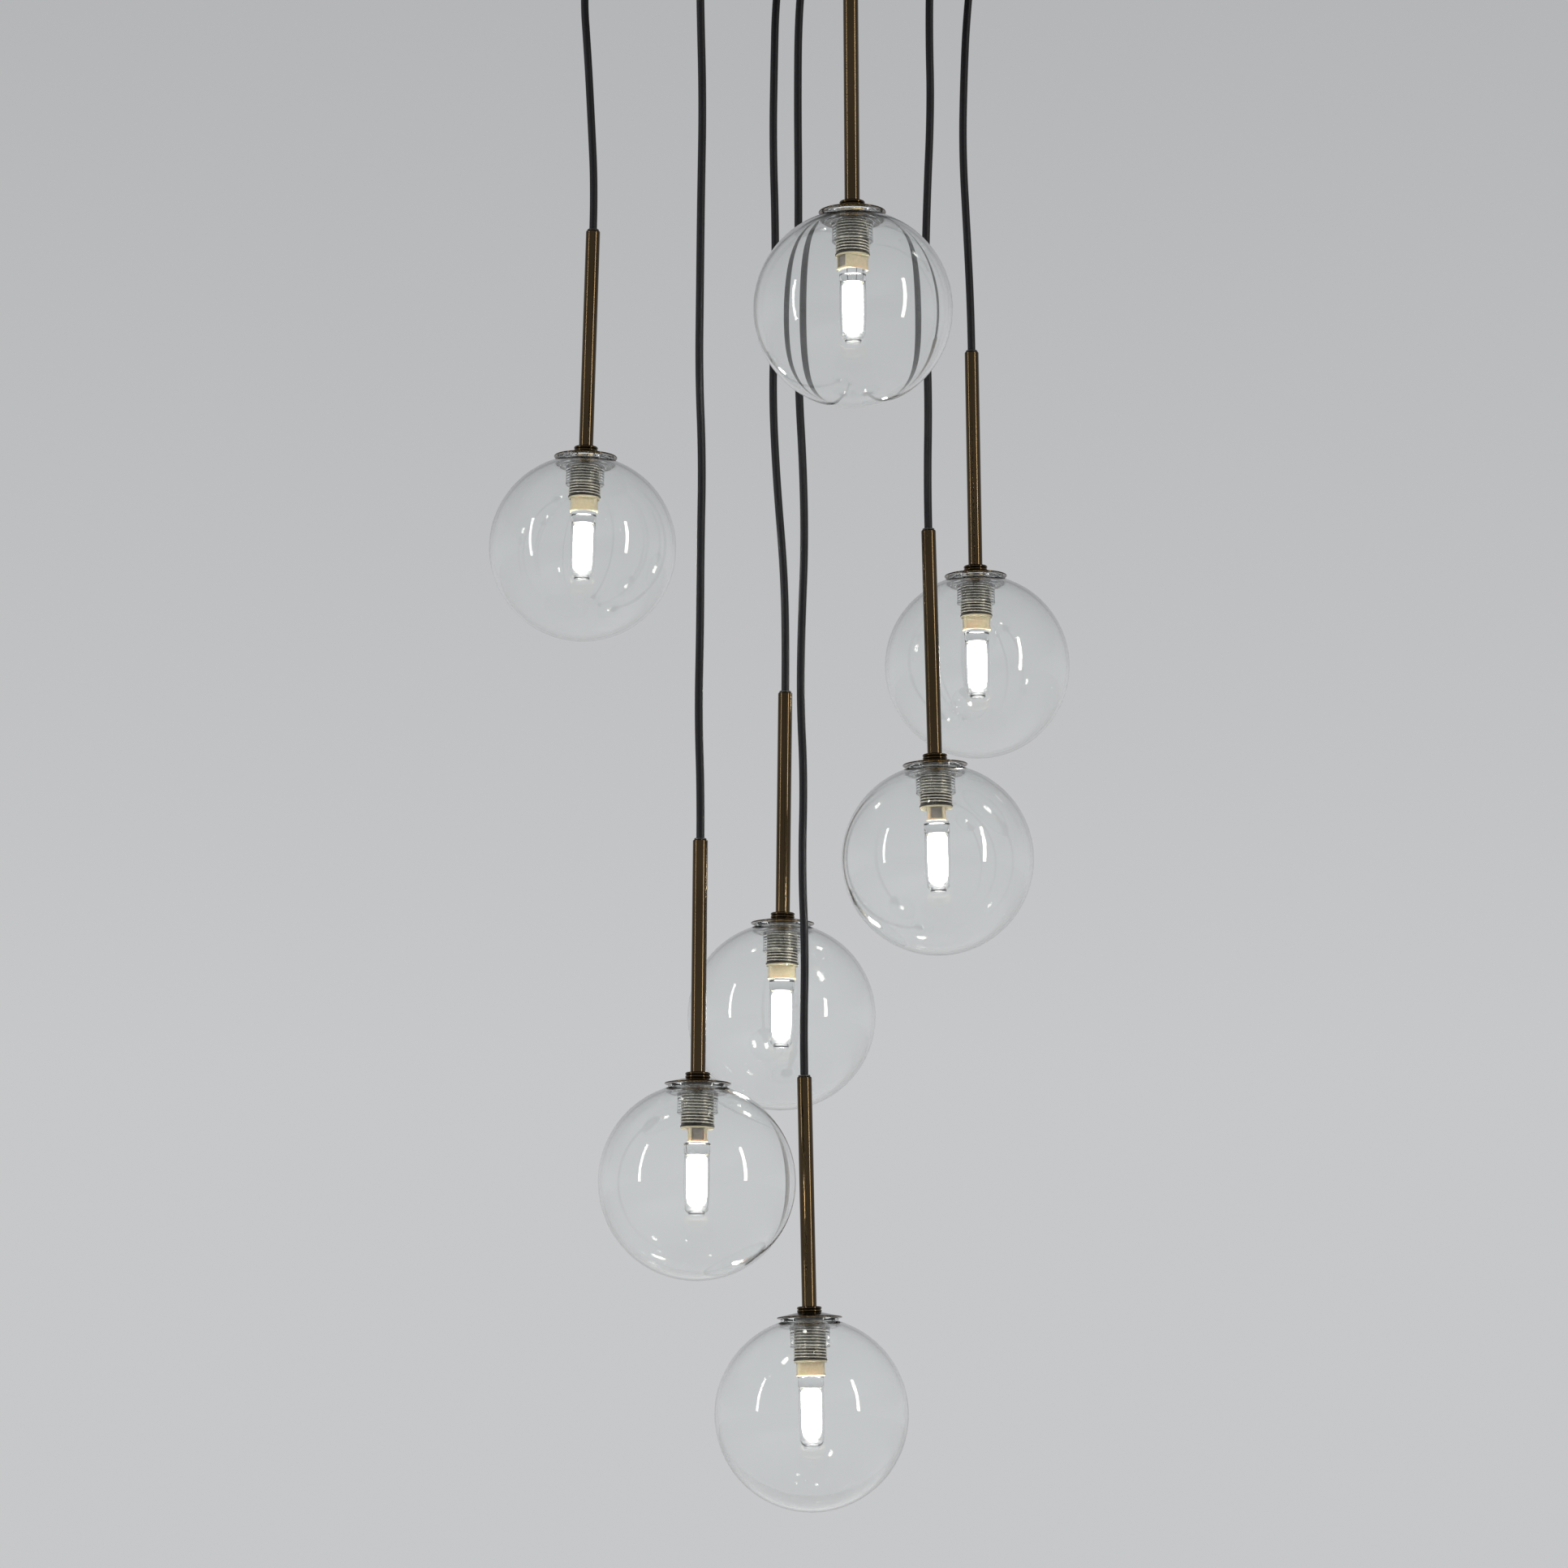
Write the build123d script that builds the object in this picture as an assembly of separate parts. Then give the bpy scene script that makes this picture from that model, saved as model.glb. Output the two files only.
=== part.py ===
from build123d import *
import math
import os

# A cluster pendant: seven clear glass globes at seven heights under one round ceiling canopy.
# Each hangs on its own black cable: cable, brass stem, collar and cap disc, threaded lampholder,
# ceramic insert, capsule bulb, and a blown globe whose fused neck is screwed on the lampholder.
# Millimetres, +Z up. The origin is on the ceiling, at the centre of the bracket's four screw holes.
# -Y is the side that the lamp is looked at from, +X is to the right from there.

os.makedirs("parts", exist_ok=True)

# ---- driving dimensions --------------------------------------------------------------------------
GLOBE_R = 65.0
GLOBE_WALL = 2.2
CROWN_R = 19.6  # the hole in the globe's crown, which the neck's flange fills
GLOBE_DROP = 64.2  # from the cap disc's rim down to the globe's centre

NECK_BORE_R = 11.8
NECK_SLEEVE_R = 13.5
NECK_FLANGE = 6.0
NECK_LENGTH = 19.5
FUSED_GAP = 0.05  # the glue line between neck and globe

CAP_R = 22.0
CAP_RISE = 3.8
CAP_SHEET = 0.9
COLLAR_R = 8.4
COLLAR_HEIGHT = 4.0
NUT_FLATS = 14.0

TUBE_R = 5.0
TUBE_WALL = 1.0
TUBE_LENGTH = 155.0  # the part that shows, from the collar up
TUBE_THREAD_END = -7.0  # the tube's threaded foot, below the cap disc's rim
SLIP = 0.05  # radial play of rings on the tube, and of screws in their holes

CABLE_R = 2.75
BUSH_LIP_R = 4.1
BUSH_LIP = 0.9

SHELL_TOP = -0.9
SHELL_BOTTOM = -28.4
SHELL_R = 11.3
SHELL_WALL = 1.3

INSERT_LONG = 19.6
INSERT_SHORT = 13.4
INSERT_CORNER = 3.2
INSERT_FOOT = -38.4
INSERT_LIP = 1.2
FLANGE = 1.2  # the insert's round flange under the shell
RECESS = 1.6  # how deep the spring clips' recesses are
PIN_PITCH = 9.0  # the G9 socket's pin spacing

BULB_TOP = -38.7
BULB_BASE_FOOT = -46.1
BULB_R = 8.75
BULB_FOOT = -86.5

CANOPY_R = 200.0
CANOPY_DEPTH = 50.0
CANOPY_SHEET = 1.5
PIVOT_Z = -51.2  # where the hanging cable leaves the squeezed one, in the grip's mouth
GRIP_MOUTH_Z = -58.0
GRIP_THREAD_R = 5.0
TAIL_Z = -10.0  # the height at which the cable tails run to the terminal block
TAIL_BEND = 18.0

BRACKET_SHEET = 2.5
BRACKET_PLATE_R = 64.0
BRACKET_ARM = 24.0
BRACKET_TAB = 17.0
CEILING_HOLE_R = 2.75
CEILING_HOLE_CIRCLE_R = 90.0
SIDE_SCREW_Z = -10.0
SIDE_SCREW_R = 2.0

BLOCK_Y = -30.0
BLOCK_WAY = 11.5
BLOCK_WAYS = 8
BLOCK_WIDTH = 20.0
BLOCK_HEIGHT = 14.0
BLOCK_FIXINGS = (2, 6)  # the gaps between ways where a screw goes up into the plate

# The seven pendants, from the highest to the lowest globe.
# globe: its centre. lean: degrees out of plumb, positive when the foot is to the right.
# turn: how the oblong insert and the bulb's pins are turned about the stem.
# outlet_x: the grip's place, over the pendant's centre of mass; its y is the globe's.
# way: the way of the terminal block that the cable's tail goes to, and the side it enters from.
# route: the cable's corners between the grip and the stem, as (x, y offset, z).
PENDANTS = {
    1: dict(
        globe=(29.9, -173.0, -388.8), lean=0.3, turn=38.0, outlet_x=29.8, way=6, side=-1,
        route=[(30.1, 0.5, -90.0)],
    ),
    2: dict(
        globe=(-154.9, 78.0, -497.2), lean=-1.5, turn=0.0, outlet_x=-154.2, way=0, side=1,
        route=[(-156.9, 0.4, -96.0), (-153.4, -0.5, -142.0), (-150.7, 0.6, -190.0)],
    ),
    3: dict(
        globe=(121.1, 138.0, -569.9), lean=0.7, turn=3.0, outlet_x=120.7, way=5, side=1,
        route=[
            (116.3, 0.4, -92.0), (113.8, -0.5, -142.0), (112.6, 0.7, -196.0), (115.5, 0.8, -255.0),
        ],
    ),
    4: dict(
        globe=(88.9, 10.0, -725.1), lean=1.35, turn=88.0, outlet_x=88.2, way=7, side=1,
        route=[
            (86.3, 0.4, -98.0), (85.4, -0.5, -148.0), (86.5, 0.7, -200.0), (83.3, 1.1, -270.0),
            (81.6, -0.3, -338.0), (84.1, -0.9, -403.0),
        ],
    ),
    5: dict(
        globe=(-16.7, 107.0, -820.9), lean=-0.65, turn=-3.0, outlet_x=-16.5, way=2, side=1,
        route=[
            (-20.9, 0.3, -92.0), (-22.0, -0.6, -140.0), (-22.9, 0.7, -198.0), (-21.0, 1.1, -262.0),
            (-21.3, -0.4, -325.0), (-23.2, -1.0, -380.0), (-20.4, 0.3, -441.0), (-14.8, 0.6, -510.0),
        ],
    ),
    6: dict(
        globe=(-72.3, -55.0, -948.0), lean=-0.45, turn=93.0, outlet_x=-72.1, way=1, side=-1,
        route=[
            (-72.6, 0.3, -96.0), (-71.9, -0.5, -148.0), (-70.1, 0.6, -216.0), (-71.2, 1.0, -284.0),
            (-71.7, -0.4, -350.0), (-72.2, -1.0, -404.0), (-69.8, 0.4, -464.0), (-70.9, 0.9, -524.0),
            (-71.0, 0.1, -580.0), (-72.1, -0.5, -636.0),
        ],
    ),
    7: dict(
        globe=(3.5, 33.0, -1097.0), lean=1.2, turn=2.0, outlet_x=2.7, way=4, side=1,
        route=[
            (-1.3, 0.3, -88.0), (-5.0, -0.4, -130.0), (-5.5, 0.6, -190.0), (-4.9, 1.0, -256.0),
            (-5.3, -0.3, -326.0), (-5.1, -0.9, -392.0), (-1.8, 0.3, -450.0), (-0.8, 0.8, -504.0),
            (-3.0, 0.2, -560.0), (-3.9, -0.5, -612.0), (-1.4, -0.2, -666.0), (-2.9, 0.5, -728.0),
            (-0.6, 0.2, -786.0),
        ],
    ),
}


# ---- helpers -------------------------------------------------------------------------------------
def lathe(outline):
    """A solid turned about the Z axis from a closed outline of (radius, height) edges."""
    return revolve(Plane.XZ * make_face(outline), Axis.Z)


def turned(points):
    """A solid turned from straight runs between (radius, height) points."""
    return lathe(Polyline(*points, close=True))


def ring(outer, inner, low, high):
    """A plain ring about the Z axis."""
    return turned([(inner, low), (outer, low), (outer, high), (inner, high)])


def rod(radius, low, high):
    """A plain round bar about the Z axis."""
    return Pos(0, 0, (low + high) / 2) * Cylinder(radius, high - low)


def block(long, wide, low, high, corner):
    """An upright bar of rounded oblong section."""
    return Pos(0, 0, low) * extrude(RectangleRounded(long, wide, corner), high - low)


def hex_nut(flats, bore, low, high):
    """A plain hexagon nut about the Z axis."""
    body = Pos(0, 0, low) * extrude(RegularPolygon(flats / 2, 6, major_radius=False), high - low)
    return body - rod(bore, low - 1, high + 1)


def save(node, *solids):
    """Write one node's solids to its own file."""
    export_step(Compound(children=[s for s in solids]), f"parts/{node}.step")


# ---- the pieces of one pendant, upright, with the cap disc's rim at z = 0 ------------------------
def stem():
    """The brass tube: rounded in at the top, threaded at the foot."""
    top = CAP_RISE + COLLAR_HEIGHT + TUBE_LENGTH
    inner = TUBE_R - TUBE_WALL
    rim = 1.2
    side = Polyline(
        (BUSH_LIP_R - 0.85, top), (BUSH_LIP_R - 0.85, top - 0.9), (inner, top - 1.7),
        (inner, TUBE_THREAD_END), (TUBE_R - 0.4, TUBE_THREAD_END), (TUBE_R, TUBE_THREAD_END + 0.4),
        (TUBE_R, top - rim),
    )
    shoulder = RadiusArc((TUBE_R, top - rim), (TUBE_R - rim, top), -rim)
    close = Line((TUBE_R - rim, top), (BUSH_LIP_R - 0.85, top))
    return lathe(side + shoulder + close)


def collar():
    """The turned ring at the stem's foot: two beads with a groove between them."""
    low = CAP_RISE
    high = CAP_RISE + COLLAR_HEIGHT
    mid = (low + high) / 2
    flank = COLLAR_R - 0.9
    lower = ThreePointArc((flank, low), (COLLAR_R, (low + mid) / 2), (flank, mid))
    upper = ThreePointArc((flank, mid), (COLLAR_R, (mid + high) / 2), (flank, high))
    inside = Polyline((flank, high), (TUBE_R + SLIP, high), (TUBE_R + SLIP, low), (flank, low))
    return lathe(lower + upper + inside)


def cap_disc():
    """The shallow brass cone over the globe's crown, with a flat seat and a rounded rim."""
    seat = COLLAR_R + 0.3
    bore = TUBE_R + SLIP
    top = ThreePointArc((seat, CAP_RISE), (15.6, 2.62), (CAP_R - 0.35, CAP_SHEET))
    rim = ThreePointArc((CAP_R - 0.35, CAP_SHEET), (CAP_R, CAP_SHEET / 2), (CAP_R - 0.45, 0))
    under = ThreePointArc((CAP_R - 0.45, 0), (15.4, 1.72), (seat, CAP_RISE - CAP_SHEET))
    hub = Polyline(
        (seat, CAP_RISE - CAP_SHEET), (bore, CAP_RISE - CAP_SHEET), (bore, CAP_RISE), (seat, CAP_RISE)
    )
    return lathe(top + rim + under + hub)


def cap_fixings():
    """The washer and the lock nut that clamp collar and disc on the stem's thread."""
    washer_top = CAP_RISE - CAP_SHEET
    nut_top = washer_top - 0.8
    washer = ring(9.0, TUBE_R + SLIP, nut_top, washer_top)
    nut = hex_nut(NUT_FLATS, TUBE_R + SLIP, SHELL_TOP, nut_top)
    return washer, nut


def lampholder_shell():
    """The holder's metal cup: a threaded boss on top and a slightly flared last turn of thread."""
    bore = TUBE_R + SLIP
    inner = SHELL_R - SHELL_WALL
    flare = SHELL_R + 0.15
    return turned([
        (bore, SHELL_TOP), (7.6, SHELL_TOP), (8.8, SHELL_TOP - 1.2), (10.0, SHELL_TOP - 1.4),
        (SHELL_R, SHELL_TOP - 2.7), (SHELL_R, SHELL_BOTTOM + 2.2), (flare, SHELL_BOTTOM + 1.7),
        (flare, SHELL_BOTTOM + 0.5), (flare - 0.5, SHELL_BOTTOM), (inner, SHELL_BOTTOM),
        (inner, SHELL_TOP - 4.0), (inner - 1.2, SHELL_TOP - 3.2), (7.2, SHELL_TOP - 3.2),
        (7.2, SHELL_TOP - 7.6), (bore, SHELL_TOP - 7.6),
    ])


def spring_clips():
    """The two steel strips in the recesses of the insert's narrow ends."""
    strip = Box(0.5, 7.0, 7.2)
    across = INSERT_LONG / 2 - RECESS + SLIP + 0.25
    height = (SHELL_BOTTOM - FLANGE + INSERT_FOOT + INSERT_LIP) / 2
    return Pos(across, 0, height) * strip, Pos(-across, 0, height) * strip


def insert_body():
    """The ceramic: a round body in the shell, a flange under it, and the oblong socket below."""
    flange_foot = SHELL_BOTTOM - FLANGE
    core = rod(SHELL_R - SHELL_WALL - SLIP, SHELL_BOTTOM, -16.0)
    flange = rod(SHELL_R - 0.4, flange_foot, SHELL_BOTTOM)
    lip = block(INSERT_LONG, INSERT_SHORT, INSERT_FOOT, INSERT_FOOT + INSERT_LIP, INSERT_CORNER)
    socket = block(INSERT_LONG - 0.8, INSERT_SHORT - 0.8, INSERT_FOOT, flange_foot, INSERT_CORNER - 0.4)
    body = core + flange + lip + socket
    recess = Box(2.0, 8.0, flange_foot - INSERT_FOOT - INSERT_LIP)
    recess_z = (flange_foot + INSERT_FOOT + INSERT_LIP) / 2
    for side in (-1, 1):
        body -= Pos(side * (INSERT_LONG / 2 - RECESS + 1.0), 0, recess_z) * recess
        slot = block(3.6, 1.8, INSERT_FOOT - 1, -26.0, 0.8)
        body -= Pos(side * PIN_PITCH / 2, 0, 0) * slot
    return body


def contacts():
    """The two brass contacts at the head of the insert's slots."""
    piece = block(3.2, 1.4, -31.0, -26.0, 0.6)
    return Pos(PIN_PITCH / 2, 0, 0) * piece, Pos(-PIN_PITCH / 2, 0, 0) * piece


def globe():
    """The blown ball: a thin shell with a ground hole at its crown."""
    inner_r = GLOBE_R - GLOBE_WALL
    outer_top = math.sqrt(GLOBE_R**2 - CROWN_R**2)
    inner_top = math.sqrt(inner_r**2 - CROWN_R**2)
    outside = ThreePointArc((0, -GLOBE_R), (GLOBE_R, 0), (CROWN_R, outer_top))
    cut = Line((CROWN_R, outer_top), (CROWN_R, inner_top))
    inside = ThreePointArc((CROWN_R, inner_top), (inner_r, 0), (0, -inner_r))
    wall = Line((0, -inner_r), (0, -GLOBE_R))
    return Pos(0, 0, -GLOBE_DROP) * lathe(outside + cut + inside + wall)


def neck():
    """The pressed glass sleeve fused in the crown: a thick flange, a bore, a chamfered foot."""
    flange_r = CROWN_R - FUSED_GAP
    root = 2.0
    under = Polyline(
        (NECK_BORE_R, 0), (flange_r - 0.6, 0), (flange_r, -0.6), (flange_r, -NECK_FLANGE + 1.0),
        (flange_r - 1.0, -NECK_FLANGE), (NECK_SLEEVE_R + root, -NECK_FLANGE),
    )
    fillet_arc = RadiusArc(
        (NECK_SLEEVE_R + root, -NECK_FLANGE), (NECK_SLEEVE_R, -NECK_FLANGE - root), root
    )
    sleeve = Polyline(
        (NECK_SLEEVE_R, -NECK_FLANGE - root), (NECK_SLEEVE_R, -NECK_LENGTH + 1.2),
        (NECK_SLEEVE_R - 0.9, -NECK_LENGTH), (NECK_BORE_R, -NECK_LENGTH), (NECK_BORE_R, 0),
    )
    return lathe(under + fillet_arc + sleeve)


def bulb():
    """The capsule bulb: clear base and envelope, the lit core in it, and two pins."""
    waist = BULB_R - 0.4
    shoulder = -79.5
    outline = Polyline(
        (0, BULB_TOP), (BULB_R - 0.4, BULB_TOP), (BULB_R, BULB_TOP - 0.4), (BULB_R, BULB_BASE_FOOT + 0.5),
        (waist, BULB_BASE_FOOT), (waist, BULB_BASE_FOOT - 0.8),
    )
    side = ThreePointArc((waist, BULB_BASE_FOOT - 0.8), (BULB_R, -62.0), (7.75, shoulder))
    turn_in = ThreePointArc((7.75, shoulder), (6.9, -82.9), (4.5, -85.0))
    tip = Polyline((4.5, -85.0), (4.2, BULB_FOOT), (0, BULB_FOOT), (0, BULB_TOP))
    hollow_side = ThreePointArc((7.3, BULB_BASE_FOOT - 0.9), (7.8, -62.0), (6.9, shoulder))
    hollow_end = ThreePointArc((6.9, shoulder), (5.8, -82.2), (3.6, -83.8))
    hollow_top = Polyline((3.6, -83.8), (0, -83.8), (0, BULB_BASE_FOOT - 0.9), (7.3, BULB_BASE_FOOT - 0.9))
    envelope = lathe(outline + side + turn_in + tip) - lathe(hollow_side + hollow_end + hollow_top)
    core = rod(5.8, -76.0, BULB_BASE_FOOT - 0.9)
    pin = block(2.6, 0.9, BULB_TOP, BULB_TOP + 5.6, 0.4)
    return envelope, core, Pos(PIN_PITCH / 2, 0, 0) * pin, Pos(-PIN_PITCH / 2, 0, 0) * pin


def cord_bush():
    """The black bush in the stem's top, with its lip over the rim."""
    top = CAP_RISE + COLLAR_HEIGHT + TUBE_LENGTH
    bore = CABLE_R + 0.3
    sleeve = BUSH_LIP_R - 0.9
    return turned([
        (bore, top - 3.0), (sleeve, top - 3.0), (sleeve, top), (BUSH_LIP_R, top),
        (BUSH_LIP_R, top + BUSH_LIP - 0.3), (BUSH_LIP_R - 0.3, top + BUSH_LIP), (bore, top + BUSH_LIP),
    ])


# ---- the cable of one pendant --------------------------------------------------------------------
def bend_radii(points):
    """Each corner's arc: 0.45 of its shorter run, over the tangent of half the turn."""
    radii = []
    for before, corner, after in zip(points, points[1:], points[2:]):
        run_in = Vector(*corner) - Vector(*before)
        run_out = Vector(*after) - Vector(*corner)
        half_turn = math.radians(run_in.get_angle(run_out)) / 2
        radii.append(0.45 * min(run_in.length, run_out.length) / math.tan(half_turn))
    return radii


def cable(name, points):
    """A round tube through the route's corners; prints its length, radii and volume ratio."""
    radii = bend_radii(points)
    path = FilletPolyline(*points, radius=radii)
    start = Plane(path @ 0, z_dir=path % 0)
    tube = sweep(start * Circle(CABLE_R), path)
    straight_volume = math.pi * CABLE_R**2 * path.length
    listed = " ".join(f"{r:.0f}" for r in radii)
    print(f"{name}: {path.length:.0f} mm, volume ratio {tube.volume / straight_volume:.4f}, radii {listed}")
    return tube


def frame_of(data):
    """Where an upright pendant goes: its lean about Y, and its rim under the route."""
    x, y, z = data["globe"]
    lean = math.radians(data["lean"])
    rim = (x - GLOBE_DROP * math.sin(lean), y, z + GLOBE_DROP * math.cos(lean))
    return Location(rim, (0, -data["lean"], 0))


def along_stem(place, height):
    """The point on a pendant's axis at a height above its cap disc's rim."""
    return tuple((place * Pos(0, 0, height)).position)


def write_pendant(number, data):
    """Write the seven nodes of one pendant."""
    place = frame_of(data)
    turned_place = place * Rot(0, 0, data["turn"])
    y = data["globe"][1]
    top = CAP_RISE + COLLAR_HEIGHT + TUBE_LENGTH
    points = [(data["outlet_x"], y, PIVOT_Z)]
    points += [(x, y + offset, z) for x, offset, z in data["route"]]
    points += [along_stem(place, top + 30.0), along_stem(place, TUBE_THREAD_END + 1.0)]
    save(f"cable_{number}", cable(f"cable_{number}", points), place * cord_bush())
    save(f"stem_{number}", place * stem(), place * collar())
    save(f"cap_{number}", place * cap_disc(), *[place * piece for piece in cap_fixings()])
    save(f"lampholder_{number}", turned_place * lampholder_shell())
    insert_pieces = [insert_body(), *contacts(), *spring_clips()]
    save(f"insert_{number}", *[turned_place * piece for piece in insert_pieces])
    save(f"globe_{number}", place * globe(), place * neck())
    save(f"bulb_{number}", *[turned_place * piece for piece in bulb()])


# ---- the canopy ----------------------------------------------------------------------------------
def outlet(data):
    """The centre of a pendant's hole in the canopy's floor."""
    return data["outlet_x"], data["globe"][1]


def canopy_cover():
    """The round pan: open to the ceiling, with seven outlets and four side screw holes."""
    bend = 8.0
    inner = CANOPY_R - CANOPY_SHEET
    floor = -CANOPY_DEPTH + CANOPY_SHEET
    outside = Polyline((0, -CANOPY_DEPTH), (CANOPY_R - bend, -CANOPY_DEPTH))
    corner = RadiusArc((CANOPY_R - bend, -CANOPY_DEPTH), (CANOPY_R, -CANOPY_DEPTH + bend), -bend)
    rim = Polyline((CANOPY_R, -CANOPY_DEPTH + bend), (CANOPY_R, -0.5), (inner, -0.5), (inner, -CANOPY_DEPTH + bend))
    hollow = RadiusArc((inner, -CANOPY_DEPTH + bend), (CANOPY_R - bend, floor), bend - CANOPY_SHEET)
    inside = Polyline((CANOPY_R - bend, floor), (0, floor), (0, -CANOPY_DEPTH))
    pan = lathe(outside + corner + rim + hollow + inside)
    for data in PENDANTS.values():
        x, y = outlet(data)
        pan -= Pos(x, y, 0) * rod(GRIP_THREAD_R + SLIP, -CANOPY_DEPTH - 1, floor + 1)
    for quarter in range(4):
        pan -= Rot(0, 0, 90 * quarter) * Pos(CANOPY_R, 0, SIDE_SCREW_Z) * Rot(0, 90, 0) * Cylinder(
            SIDE_SCREW_R + SLIP, 10
        )
    return pan


def bracket_arm():
    """One strip right across the canopy, both ends turned down."""
    reach = CANOPY_R - CANOPY_SHEET - 0.8
    outer = Pos(0, -BRACKET_TAB / 2) * Rectangle(2 * reach, BRACKET_TAB)
    inner = Pos(0, -BRACKET_TAB / 2 - BRACKET_SHEET) * Rectangle(2 * (reach - BRACKET_SHEET), BRACKET_TAB)
    outer = fillet(outer.vertices().group_by(Axis.Y)[-1], 4.0)
    inner = fillet(inner.vertices().group_by(Axis.Y)[-1], 4.0 - BRACKET_SHEET)
    return extrude(Plane.XZ * (outer - inner), BRACKET_ARM / 2, both=True)


def ceiling_bracket():
    """The plate and its crossed arms, with the ceiling screw holes and the supply hole."""
    plate = rod(BRACKET_PLATE_R, -BRACKET_SHEET, 0)
    body = plate + bracket_arm() + Rot(0, 0, 90) * bracket_arm()
    body -= rod(10.0, -5, 1)
    for quarter in range(4):
        turn = Rot(0, 0, 90 * quarter)
        body -= turn * Pos(CEILING_HOLE_CIRCLE_R, 0, 0) * rod(CEILING_HOLE_R, -5, 1)
        body -= turn * Pos(CANOPY_R, 0, SIDE_SCREW_Z) * Rot(0, 90, 0) * Cylinder(SIDE_SCREW_R + SLIP, 16)
    for x in fixing_xs():
        body -= Pos(x, BLOCK_Y, 0) * rod(1.5 + SLIP, -5, 1)
    return body


def cover_screw():
    """A knurled side screw, lying along X with its head outside the rim."""
    shank = Cylinder(SIDE_SCREW_R, 9.0)
    head = Pos(0, 0, 4.5 + 1.3) * Cylinder(4.2, 2.6)
    head = chamfer(head.edges().filter_by(GeomType.CIRCLE).sort_by(Axis.Z)[-1], 0.5)
    return Pos(CANOPY_R - 4.5, 0, SIDE_SCREW_Z) * Rot(0, 90, 0) * (shank + head)


def cord_grip():
    """The outlet under the canopy: a flange, a hollow thread through the floor, a bell mouth."""
    floor = -CANOPY_DEPTH
    throat = PIVOT_Z + 0.9
    squeeze = CABLE_R + SLIP
    return turned([
        (squeeze, -40.0), (GRIP_THREAD_R, -40.0), (GRIP_THREAD_R, floor), (7.4, floor), (7.4, floor - 2.0),
        (6.8, floor - 2.8), (6.2, GRIP_MOUTH_Z + 0.6), (5.7, GRIP_MOUTH_Z), (4.8, GRIP_MOUTH_Z),
        (3.2, PIVOT_Z), (3.2, throat), (squeeze, throat),
    ])


def grip_clamp():
    """The domed nut on the grip's head that squeezes the cable's sheath."""
    foot = -CANOPY_DEPTH + CANOPY_SHEET + 3.0
    bore = GRIP_THREAD_R + SLIP
    return turned([
        (bore, foot), (7.2, foot), (7.2, foot + 5.5), (4.6, foot + 9.0), (CABLE_R + SLIP, foot + 9.0),
        (CABLE_R + SLIP, -39.8), (bore, -39.8),
    ])


def way_x(way):
    """The X of a way of the terminal block."""
    return (way - (BLOCK_WAYS - 1) / 2) * BLOCK_WAY


def fixing_xs():
    """The X of each screw that holds the terminal block."""
    return [way_x(gap) - BLOCK_WAY / 2 for gap in BLOCK_FIXINGS]


def cable_tail(data):
    """A cable's end inside the canopy: up out of the grip and across to the terminal block."""
    x, y = outlet(data)
    face = BLOCK_Y + data["side"] * BLOCK_WIDTH / 2
    straight_in = (way_x(data["way"]), face + data["side"] * 14.0, TAIL_Z)
    end = (way_x(data["way"]), face, TAIL_Z)
    start = (x, y, PIVOT_Z + 0.9)
    path = FilletPolyline(start, (x, y, TAIL_Z), straight_in, end, radius=[TAIL_BEND, 10.0])
    return sweep(Plane(path @ 0, z_dir=path % 0) * Circle(CABLE_R), path)


def terminal_block():
    """The terminal block under the plate: eight ways with two screw wells each, and two fixing holes."""
    long = BLOCK_WAYS * BLOCK_WAY
    top = -BRACKET_SHEET
    body = Pos(0, BLOCK_Y, top - BLOCK_HEIGHT / 2) * Box(long, BLOCK_WIDTH, BLOCK_HEIGHT)
    for gap in range(1, BLOCK_WAYS):
        x = way_x(gap) - BLOCK_WAY / 2
        body -= Pos(x, BLOCK_Y, top - BLOCK_HEIGHT) * Box(1.2, BLOCK_WIDTH + 1, 5.0)
    for way in range(BLOCK_WAYS):
        for side in (-1, 1):
            body -= Pos(way_x(way), BLOCK_Y + side * 5.5, top - BLOCK_HEIGHT + 2.0) * Cylinder(2.2, 5.0)
    for x in fixing_xs():
        body -= Pos(x, BLOCK_Y, 0) * (rod(1.5 + SLIP, -20, 0) + rod(3.1, -20, top - BLOCK_HEIGHT + 5.0))
    return body


def terminal_screws():
    """The slotted clamp screws in the block's wells, and the two screws that hold the block."""
    foot = -BRACKET_SHEET - BLOCK_HEIGHT
    clamp = rod(2.0, foot + 1.6, foot + 4.5) - Pos(0, 0, foot + 1.6) * Box(5.0, 0.7, 2.0)
    fixing = rod(2.8, foot + 2.8, foot + 5.0) + rod(1.5, foot + 5.0, -0.3)
    fixing -= Pos(0, 0, foot + 2.8) * Box(6.0, 0.8, 2.0)
    clamps = [Pos(way_x(way), BLOCK_Y + side * 5.5, 0) * clamp for way in range(BLOCK_WAYS) for side in (-1, 1)]
    return clamps + [Pos(x, BLOCK_Y, 0) * fixing for x in fixing_xs()]


def earth_stud():
    """The earth screw under the plate: a stud, a washer and a nut."""
    stud = rod(2.0, -15.0, -BRACKET_SHEET)
    washer = ring(5.0, 2.0 + SLIP, -3.5, -BRACKET_SHEET)
    nut = hex_nut(7.0, 2.0 + SLIP, -6.7, -3.5)
    return [Pos(-42.0, 28.0, 0) * piece for piece in (stud, washer, nut)]


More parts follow.
